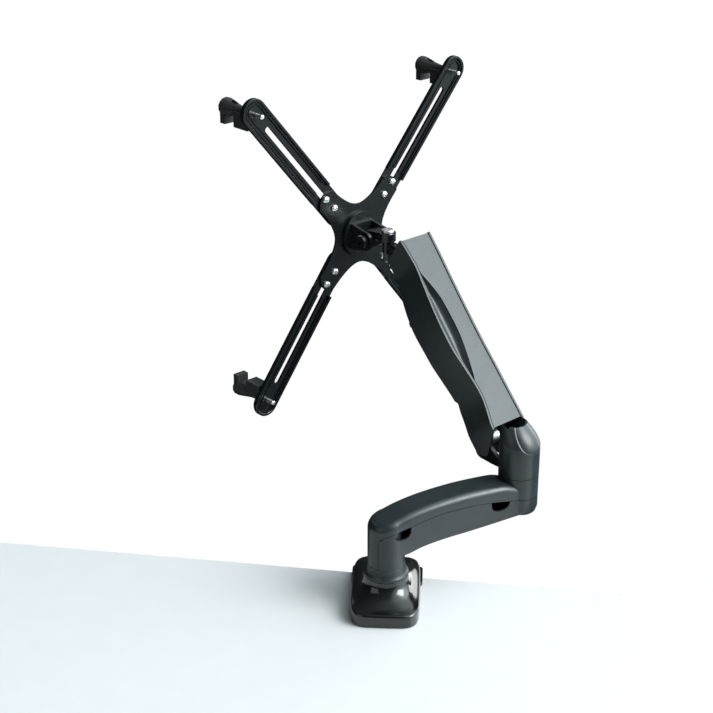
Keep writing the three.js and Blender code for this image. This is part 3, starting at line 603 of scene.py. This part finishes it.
def lower_side():
    """The side view of the cable cover: below the seam."""
    length, column = LOWER["length"], LOWER["column_radius"]
    foot = COLLAR["high"] + GAP
    end = length + column + 5
    return [(BODY_SEAM_X, foot), (22, foot), *curve_through(ARM_BOTTOM), (end, 70),
            (end, COLUMN_SEAM - SEAM_DIP), (length, COLUMN_SEAM - SEAM_DIP),
            *shifted(curve_through(SEAM), -SEAM_DIP), (BODY_SEAM_X, 83)]


# The cable mouths, as (along the arm, half width, lowest point).
MOUTHS = ((9, 10, 82.3), (128.5, 11.8, 85.4))


def cable_mouth(x, half, low):
    """A D-shaped opening in the cover's near side, open at its top."""
    corner, top = 0.95 * half, 104
    outline = cornered([(x - half, low, corner), (x + half, low, corner), (x + half, top),
                        (x - half, top)])
    return across(outline, -BESIDE_ARM, -LOWER["post_radius"] + WALL + 2)


def column_cup(above):
    """The rounded bowl under the column, up to a height that the seam then cuts."""
    radius = LOWER["column_radius"]
    cup = turned([(0, 70), (radius - 8, 70), (radius - 4.4, 70.8), (radius - 1.6, 73),
                  (radius, 78), (radius, above), (0, above)])
    return moved(cup, Matrix.Translation((LOWER["length"], 0, 0)))


def lower_arm_cover():
    """Below the seam: a hollow cover with two cable mouths, drawn taller and cut at the seam."""
    length, width, end_radius = LOWER["length"], LOWER["half_width"], LOWER["post_radius"]
    foot = COLLAR["high"] + GAP
    above = 120
    belly = across([(0, 62), *curve_through(ARM_BOTTOM), (170, 74), (170, above), (0, above)],
                   -BESIDE_ARM, BESIDE_ARM)
    beam = common(block((0, -width, foot), (length, width, above)), belly)
    blank = join(post(end_radius, foot, above), beam, column_cup(above))
    outer = common(blank, across(lower_side(), -BESIDE_ARM, BESIDE_ARM))
    hollow = join(post(end_radius - WALL, BELOW_ARM, above - 2),
                  post(LOWER["column_radius"] - WALL, 76, above - 2, (length, 0.0)),
                  block((0, WALL - width, 75), (length, width - WALL, above - 2)))
    return cut(outer, hollow, *[cable_mouth(*mouth) for mouth in MOUTHS])


# ================= elbow =================

SHOULDER_FOOT = 143.0
LAP = 1.2  # how far the upright wall stands out from the shoulder
HOUSING_MOUTH = {"radius": 29.5, "half_width": 18.0}  # round the lift pin, for the arm's panels
END_SWEEP = 28.0  # the room that the arm's rounded end turns in
# The leaning head of the housing, as (radius, centre along the arm, height).
SHOULDER = ((21.8, 0, 138), (21.8, 0, 146), (21.3, 0.6, 151), (19.6, 2.6, 158), (17.2, 6, 165),
            (14, 10, 171.5))


def shoulder(inset, top):
    """The leaning, narrowing head of the housing, on the side away from the upper arm."""
    rings = []
    for radius, centre, z in curve_through(SHOULDER):
        height = top if z == SHOULDER[-1][2] else z
        rings.append([(x, y, height) for x, y in circle(radius - inset, (centre, 0))])
    return loft(rings)


def elbow_housing():
    """The upright shell with its mouth for the upper arm, and a lap over the leaning shoulder."""
    radius, top, wall = HOUSING["radius"], HOUSING["top"], HOUSING["wall"]
    low, floor = ELBOW_SEAM + GAP, 3
    towards_arm = across([(-22.4, 100), (60, 100), (60, 200), (9, 182), (-2, 170), (-22.4, 144)],
                         -BESIDE_HEAD, BESIDE_HEAD)
    lap = common(post(radius, low, top), towards_arm, shoulder(-LAP, top))
    skin = join(post(radius, low, SHOULDER_FOOT), lap, shoulder(0, top))
    hollow = join(post(radius - wall, low + floor, 148), shoulder(wall + 0.3, top + 1))
    half = HOUSING_MOUTH["half_width"]
    mouth = crosswise(HOUSING_MOUTH["radius"], -half, half, LIFT["x"], LIFT["z"], ROUND)
    end_sweep = crosswise(END_SWEEP, -BESIDE_HEAD, BESIDE_HEAD, LIFT["x"], LIFT["z"], ROUND)
    cheek = CHEEK_OUTER + 1
    bracket_slot = block((4, -cheek, low + floor), (40, cheek, 175))
    shaft_hole = post(SHAFT_RADIUS + GAP, 100, 130)
    return cut(skin, hollow, mouth, end_sweep, bracket_slot, shaft_hole)


# ================= upper arm =================

# The side view of both panels, as (along, height, corner radius).
PANEL_SIDE = ((-11, 26, 3), (218.6, 26, 3), (206.9, -9, 3), (149, -18, 12), (125, -19.4, 8),
              (98, -17, 8), (37.7, -16.5, 1.5), (34, -13.5, 1.5), (24, -16.2, 2), (-25, -14, 6),
              (-32.5, -3, 5))

# The outer faces of the two side panels, as (along, out from the middle).
NEAR_SIDE = ((-33, 22.5), (-5, 22.5), (10, 19.4), (25, 17), (40, 17.4), (60, 20.4), (85, 24.4),
             (112, 25.2), (140, 24), (165, 21.6), (185, 19.8), (203, 21.2), (219, 23.2))
FAR_SIDE = ((-33, 25.5), (-5, 25.3), (20, 24.4), (45, 23.6), (68, 22.6), (90, 21.8), (126, 21.4),
            (165, 21.6), (187, 22), (203, 22), (219, 21.9))
# The upper edge of the crescent scoop in the near side of the deck.
DECK_EDGE = ((-8, 20), (25, 13.8), (42, 14.6), (56, 11.2), (74, 7.4), (99, 4), (124, 4),
             (146, 5.8), (164, 11), (178, 16), (186, 17.2), (217, 19.8))
SCOOP_DEPTH = 5.6
SPRING_BOSS = {"radius": 6.0, "spans": ((11, 40), (-40, -17.8))}


def plan(inset):
    """The arm's plan between its two side panels, drawn in by an inset."""
    start, end = NEAR_SIDE[0][0], NEAR_SIDE[-1][0]
    count = 84
    steps = [start + (end - start) * step / count for step in range(count + 1)]
    far = [(x, inset - curve_at(FAR_SIDE, x)) for x in steps]
    near = [(x, curve_at(NEAR_SIDE, x) - inset) for x in reversed(steps)]
    above = 30
    return raised([*far, *near], -above, above)


def pin_hole(pin_radius, x, z):
    """A hole for a pin, which stops short of the panels' outer faces."""
    return common(crosswise(pin_radius + GAP, -BESIDE_HEAD, BESIDE_HEAD, x, z), plan(BLIND))


def upper_arm_shell():
    """The two side panels, the web between them and the bosses for the spring's pin."""
    panels = across(cornered(PANEL_SIDE), -BESIDE_HEAD, BESIDE_HEAD)
    sides = cut(common(panels, plan(0)), plan(WALL))
    web = common(block((-4, -BESIDE_HEAD, WEB["low"]), (208, BESIDE_HEAD, WEB["high"])), plan(1))
    x, z = SPRING_PIN["x"], SPRING_PIN["z"]
    bosses = [common(crosswise(SPRING_BOSS["radius"], start, end, x, z), plan(1))
              for start, end in SPRING_BOSS["spans"]]
    holes = [pin_hole(LIFT["radius"], 0, 0), pin_hole(LIFT["radius"], UPPER["span"], 0),
             pin_hole(SPRING_PIN["radius"], x, z)]
    return cut(join(sides, web, *bosses), *holes)


def deck_section(x):
    """The deck across the arm at x, with the crescent scoop beside the near panel."""
    near = curve_at(NEAR_SIDE, x) - WALL - DECK["groove"]
    far = WALL + GAP - curve_at(FAR_SIDE, x)
    least_width, step_down = 0.3, 0.8
    edge = min(curve_at(DECK_EDGE, x), near - least_width)
    depth = min(SCOOP_DEPTH, (near - edge) * 0.5)
    top = DECK["high"]
    scoop = [(x, near + (edge - near) * t, top - step_down - depth * sin(pi * t))
             for t in (step / 12 for step in range(13))]
    return [(x, far, DECK["low"]), (x, near, DECK["low"]), *scoop, (x, edge, top), (x, far, top)]


def top_cover():
    """The deck along the top of the upper arm."""
    start, end = DECK["elbow_end"], DECK["head_end"]
    count = 90
    return loft([deck_section(start + (end - start) * step / count) for step in range(count + 1)])


# ================= head =================

def swivel_pin():
    """The upright pin of the head's swivel, with its button on top."""
    return turned([(0, -22), (2.6, -22), (3.2, -21.4), (3.2, 13.2), (6.8, 13.2), (6.8, 15.4),
                   (6.4, 16.2), (5.2, 16.6), (0, 16.6)], 64)


KNURL = {"radius": 7.4, "depth": 0.35, "ribs": 22, "steps": 144}


def knurled_ring():
    """The grip's toothed outline, round the tilt axis."""
    ring = []
    for step in range(KNURL["steps"]):
        angle = 2 * pi * step / KNURL["steps"]
        tooth = 1 if cos(KNURL["ribs"] * angle) > 0 else -1
        radius = KNURL["radius"] + KNURL["depth"] * tooth
        ring.append((TILT_X + radius * cos(angle), radius * sin(angle)))
    return ring


def tilt_bolt():
    """The tilt screw with its knurled grip and a hexagon socket."""
    shank = crosswise(4, -20, 17, TILT_X)
    grip = across(knurled_ring(), 15.9, 21.6)
    socket = crosswise(3.4, 20.2, 23, TILT_X, sides=6)
    return cut(join(shank, grip), socket)


def quarter_turns(point, quarter):
    """A point turned about the middle by a number of right angles."""
    x, y = point
    for _ in range(quarter):
        x, y = -y, x
    return x, y


def quarter_outline():
    """A quarter of the cross plate: from the middle of one side, round a lobe, to the next."""
    lobe = PLATE["lobe_radius"] / 2 ** 0.5
    tip = PLATE["reach"] / 2 ** 0.5 - lobe / 2
    start = PLATE["arm_from"]
    lobe_from, lobe_to = (tip + lobe - 2, tip - lobe), (tip - lobe, tip + lobe - 2)
    return [*bend((start, 0), (start, lobe + 4), lobe_from, 20)[:-1],
            *bend(lobe_from, (tip + lobe, tip + lobe), lobe_to, 14)[:-1],
            *bend(lobe_to, (lobe + 4, start), (0, start), 20)[:-1]]


def cross_plate():
    """The four-lobed plate, with a middle bore and the two square screw patterns."""
    outline = [quarter_turns(point, quarter) for quarter in range(4)
               for point in quarter_outline()]
    low = PLATE["x"] - PLATE["thickness"] / 2
    behind, before = 30, 60
    pivot_hole = lengthwise(PLATE["pivot_hole"], behind, before)
    screw_holes = [lengthwise(PLATE["screw_hole"], behind, before, -side[0] * pitch / 2,
                              side[1] * pitch / 2)
                   for _, side, _ in ADAPTERS for pitch in HOLE_PITCH]
    return cut(facing(outline, low, low + PLATE["thickness"]), pivot_hole, *screw_holes)


def plate_screw():
    """A pan-head screw with a cross recess, its head towards -X."""
    depth = PLATE["thickness"] + ADAPTER["sheet"] + 3
    body = turned([(0, -2.9), (1.4, -2.84), (2.6, -2.55), (3.5, -2.0), (4.0, -1.2), (4.1, -0.6),
                   (4.1, 0), (2, 0), (2, depth - 0.6), (1.4, depth), (0, depth)], 48)
    reach, half = 2.1, 0.42
    recess = join(block((-reach, -half, -3.5), (reach, half, -1.5)),
                  block((-half, -reach, -3.5), (half, reach, -1.5)))
    return moved(cut(body, moved(recess, local(z=30))), local(y=90))


# ================= adapter arms and hooks =================

RIM = 3.4  # width of an adapter arm's outer ridge
# Across an adapter arm, as (distance in from its edge, height towards the arm's side).
RIDGES = ((15.5, -1.6), (0, -1.6), (0, 3.1), (0.5, 3.6), (2.7, 3.6), (3.2, 3.2), (RIM, 0.9),
          (4.4, 0.9), (4.7, 2.3), (5.7, 2.3), (6.2, 0.3), (8.3, 0.3), (8.7, 1.4), (15.5, 1.4))


def rib_line(inset, x):
    """A U-shaped line at an inset from the edge: out along one side, round the tip, and back."""
    reach = ADAPTER["half_width"] - inset
    centre = ADAPTER["tip"] - ADAPTER["half_width"]
    outline = [(ADAPTER["rim_from"], -reach), *arc(reach, -90, 90, 32, (centre, 0)),
               (ADAPTER["rim_from"], reach)]
    return [(x, -right, up) for right, up in outline]


def lobe_room():
    """Where the cross plate's lobe comes in between the rims when the arm slides inwards."""
    half, start, end = ADAPTER["half_width"] - RIM, ADAPTER["rim_from"] - 1, ADAPTER["bead_from"]
    return facing([(start, -half), (end, -half), (end, half), (start, half)], -6, 0)


def adapter_arm():
    """A ridged, slotted sheet arm with a round tip."""
    ridged = cut(swept_in([rib_line(inset, -height) for inset, height in RIDGES]), lobe_room())
    floor = facing(pill(ADAPTER["inner"], ADAPTER["tip"] - 1, ADAPTER["half_width"] - 0.4), 0.02,
                   ADAPTER["sheet"] - 0.02)
    slot = facing(pill(SLOT["from"], SLOT["to"], SLOT["half_width"]), -5, 5)
    bore = lengthwise(STUD["radius"] + GAP, -20, 20, -ADAPTER["stud"])
    return cut(join(ridged, floor), slot, bore)


def stud():
    """The rod that carries a hook."""
    back, front, radius = STUD["back"], STUD["front"], STUD["radius"]
    rod = turned([(0, back), (radius - 0.6, back), (radius, back + 0.6), (radius, front - 0.6),
                  (radius - 0.6, front), (0, front)], 48)
    return moved(rod, local(y=90))


CLAW = ((4.6, 14), (6, 26), (8.6, 38), (10, 45))  # radius and distance along the stud


def scallops(angle, x):
    """Fourteen shallow flutes that deepen towards the claw's wide end."""
    return 1 - 0.035 * (1 - abs(cos(7 * angle))) * max(0.0, (x - 20) / 30)


def claw():
    """The flared, fluted grip round the stud."""
    profile = [(0, HOOK["from"]), (CLAW[0][0], HOOK["from"]), *curve_through(CLAW),
               (CLAW[-1][0], 49), (9.4, HOOK["to"]), (0, HOOK["to"])]
    return moved(turned(profile, 112, scallops), local(y=90))


def hook():
    """A foot behind the screen, a lip before it, and a claw with a window."""
    width = HOOK["half_width"]
    foot = block((HOOK["from"], -width, -HOOK["reach"]), (HOOK["screen_back"], width, 0))
    lip = block((HOOK["screen_front"], -width, -HOOK["reach"]), (HOOK["to"], width, 0))
    bore = lengthwise(STUD["radius"] + GAP, HOOK["from"] - 1, STUD["front"] + GAP)
    half = STUD["radius"]
    window = block((29, -half, 0), (STUD["front"], half, 14))
    return cut(join(claw(), foot, lip), bore, window)


# ================= studio =================

CAMERA = {"at": (41.7, -1389.7, 903.7), "turn": 3.0, "down": 24.0, "lens": 77.76}
DESK = {"low": -25.0, "rear_left": (-146.0, 68.0), "rear_right": (210.0, 31.0),
        "sideways": 700.0, "forwards": 900.0}
DESK_PAINT = {"colour": (0.60, 0.61, 0.615), "roughness": 0.35, "grain": 700, "relief": 0.004,
              "patch": 0.01}
# The sky is darkest away from its bright side: each level is (share of the way there, brightness).
SKY = {"bright_side": (0.80, 0.06, 0.60), "strength": 5.0, "tint": (0.84, 0.96, 1.0),
       "levels": ((0.0, 0.006), (0.55, 0.012), (0.76, 0.03), (0.90, 0.40), (1.0, 1.0))}
# Each lamp's place and width in metres, and its power in watts.
LAMPS = {"key": ((2.2, -0.6, 1.9), 1.6, 90), "fill": ((-2.0, -1.8, 1.6), 2.0, 10),
         "back": ((1.5, 2.2, 0.35), 1.6, 30)}
LAMPS_AIM = (0.05, 0.1, 0.25)  # the middle of the object, in metres


def camera():
    """The photograph's viewpoint: place in millimetres, angles in degrees."""
    lens = bpy.data.cameras.new("camera")
    lens.lens = CAMERA["lens"]
    lens.sensor_width = 36
    view = bpy.data.objects.new("camera", lens)
    view.location = Vector(CAMERA["at"]) * MM
    view.rotation_euler = (radians(90 - CAMERA["down"]), 0, radians(CAMERA["turn"]))
    bpy.context.scene.collection.objects.link(view)
    bpy.context.scene.camera = view


def desk():
    """A pale desk top whose rear edge passes behind the base."""
    left, right = Vector(DESK["rear_left"]), Vector(DESK["rear_right"])
    along = (right - left).normalized()
    forwards = Vector((along.y, -along.x)) * DESK["forwards"]
    rear = (left - along * DESK["sideways"], right + along * DESK["sideways"])
    outline = [tuple(corner) for corner in (*rear, rear[1] + forwards, rear[0] + forwards)]
    slab = raised(outline, DESK["low"], 0)
    moved(slab, Matrix.Scale(MM, 4))
    slab.name = "desk"
    slab.data.materials.append(finish("desk_paint", **DESK_PAINT))
    rounded_edges(slab, 1.5)


def sky_colour(nodes, links):
    """A brightness that grows towards the sky's bright side."""
    place = nodes.new("ShaderNodeTexCoord")
    aim = nodes.new("ShaderNodeVectorMath")
    aim.operation = "DOT_PRODUCT"
    aim.inputs[1].default_value = Vector(SKY["bright_side"]).normalized()
    spread = nodes.new("ShaderNodeMapRange")
    spread.inputs["From Min"].default_value = -1
    ramp = nodes.new("ShaderNodeValToRGB")
    ramp.color_ramp.interpolation = "EASE"
    stops = ramp.color_ramp.elements
    while len(stops) < len(SKY["levels"]):
        stops.new(0.5)
    for stop, (position, level) in zip(stops, SKY["levels"]):
        stop.position = position
        stop.color = (*[level * share for share in SKY["tint"]], 1)
    links.new(place.outputs["Generated"], aim.inputs[0])
    links.new(aim.outputs["Value"], spread.inputs["Value"])
    links.new(spread.outputs["Result"], ramp.inputs["Fac"])
    return ramp.outputs["Color"]


def world_light():
    """White behind the object, and for its surfaces a sky that is bright up and to the right."""
    world = bpy.data.worlds.new("studio")
    bpy.context.scene.world = world
    world.use_nodes = True
    nodes, links = world.node_tree.nodes, world.node_tree.links
    nodes.clear()
    sky = nodes.new("ShaderNodeBackground")
    sky.inputs["Strength"].default_value = SKY["strength"]
    white = nodes.new("ShaderNodeBackground")
    white.inputs["Color"].default_value = (1, 1, 1, 1)
    path = nodes.new("ShaderNodeLightPath")
    mix = nodes.new("ShaderNodeMixShader")
    output = nodes.new("ShaderNodeOutputWorld")
    links.new(sky_colour(nodes, links), sky.inputs["Color"])
    links.new(path.outputs["Is Camera Ray"], mix.inputs["Fac"])
    links.new(sky.outputs["Background"], mix.inputs[1])
    links.new(white.outputs["Background"], mix.inputs[2])
    links.new(mix.outputs["Shader"], output.inputs["Surface"])


def soft_light(name, at, size, power):
    """A large soft panel that faces the middle of the object."""
    panel = bpy.data.lights.new(name, "AREA")
    panel.size = size
    panel.energy = power
    lamp = bpy.data.objects.new(name, panel)
    lamp.location = at
    towards = Vector(LAMPS_AIM) - Vector(at)
    lamp.rotation_euler = towards.to_track_quat("-Z", "Y").to_euler()
    bpy.context.scene.collection.objects.link(lamp)


# ================= assembly =================

show(base_cover(), BASE_FRAME, "base_cover", "gloss_black", 0.5)
show(collar(), BASE_FRAME, "collar", "satin_black", 0.3)
show(lower_arm_body(), LOWER_FRAME, "lower_arm_body", "satin_black", 0.8)
show(lower_arm_cover(), LOWER_FRAME, "lower_arm_cover", "satin_black", 0.8)
show(elbow_housing(), ELBOW_FRAME, "elbow_housing", "satin_black", 0.35)
show(upper_arm_shell(), ARM_FRAME, "upper_arm_shell", "satin_black", 0.5)
show(top_cover(), ARM_FRAME, "upper_arm_top_cover", "satin_black", 0.3)
show(swivel_pin(), HEAD_FRAME, "swivel_pin", "bright_steel", 0.2)
show(tilt_bolt(), HEAD_FRAME, "tilt_bolt", "coated_steel", 0.2)
show(cross_plate(), HEAD_FRAME, "cross_plate", "coated_steel", 0.5)
for tag, side, angle in ADAPTERS:
    show(adapter_arm(), adapter_frame(side, angle), "adapter_" + tag, "coated_steel", 0.35)
    show(stud(), stud_frame(side, angle), "stud_" + tag, "bright_steel", 0.2)
    show(hook(), hook_frame(side, angle), "hook_" + tag, "rubber", 0.8)
    for ring, pitch in zip(("inner", "outer"), HOLE_PITCH):
        middle = (PLATE["x"] - PLATE["thickness"] / 2 - GAP, -side[0] * pitch / 2,
                  side[1] * pitch / 2)
        show(plate_screw(), HEAD_FRAME @ local(middle), f"screw_{tag}_{ring}", "bright_steel",
             0.12)

# The nodes whose CAD shape is already the look, under the finish that each takes.
CARRIED = {
    "coated_steel": ("base_plate", "clamp_bracket", "elbow_bracket", "parallel_link",
                     "head_knuckle", "swivel_nut", "swivel_yoke", "tilt_bracket"),
    "bright_steel": ("base_post", "clamp_screw", "clamp_bar", "spring_anchor_pin",
                     "link_pin_elbow", "link_pin_head", "lift_pin_left", "lift_pin_right",
                     "head_axle", "spring_pin", "gas_rod", "tilt_nut", "plate_pivot"),
    "satin_black": ("upper_arm_under_cover",),
    "rubber": ("desk_pad", "clamp_disc"),
    "nylon": ("base_bushing", "elbow_bushing"),
    "gas_cylinder_paint": ("gas_cylinder",),
}
for slot_name, members in CARRIED.items():
    for member in members:
        carry_over(member, slot_name)

camera()
desk()
world_light()
for name, (at, size, power) in LAMPS.items():
    soft_light(name, at, size, power)
bpy.context.scene.view_settings.view_transform = "Standard"
